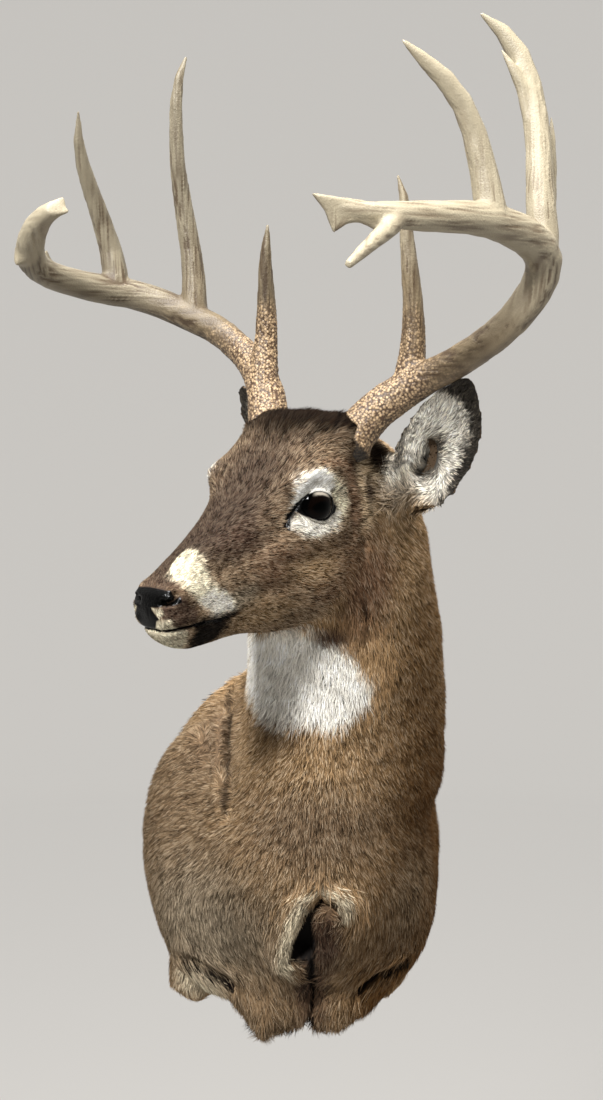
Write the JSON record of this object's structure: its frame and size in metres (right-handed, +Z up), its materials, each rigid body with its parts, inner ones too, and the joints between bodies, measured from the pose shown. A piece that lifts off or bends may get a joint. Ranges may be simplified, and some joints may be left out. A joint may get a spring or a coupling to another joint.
{
  "type": "whitetail buck shoulder mount",
  "caption": "Taxidermy shoulder mount of a whitetail buck, head turned to its right, with branching antlers, on a hidden board for the wall.",
  "frame": {"origin": "on the wall, at the back face of the board, low behind the chest", "axes": "+Z up, +X to the viewer's right of the wall, +Y into the wall: the deer stands out of the wall towards -Y"},
  "size_m": [0.5028, 0.7086, 1.0887],
  "materials": {
    "plywood": "bare sanded plywood",
    "body_hide": "brown grey winter coat of short hair",
    "face_hide": "short dark face hair",
    "ear_hide": "grey hair with a dark rim",
    "antler": "dry satin antler bone, brown and pearled at the base",
    "eye_glass": "polished dark glass eye"
  },
  "bodies": {
    "root": {"back_board": "plywood", "trunk": "body_hide", "foreleg_root_left": "body_hide", "foreleg_root_right": "body_hide", "neck": "body_hide", "head": "face_hide", "ear_left": "ear_hide", "ear_right": "ear_hide", "eye_left": "eye_glass", "eye_right": "eye_glass", "antler_left_beam": "antler", "antler_left_g1": "antler", "antler_left_g2": "antler", "antler_left_g2_spur": "antler", "antler_left_g2_fork": "antler", "antler_left_g3": "antler", "antler_left_g4": "antler", "antler_left_palm": "antler", "antler_right_beam": "antler", "antler_right_g1": "antler", "antler_right_g2": "antler", "antler_right_g3": "antler", "antler_right_g4": "antler", "antler_right_tip_spur": "antler"}
  },
  "joints": []
}
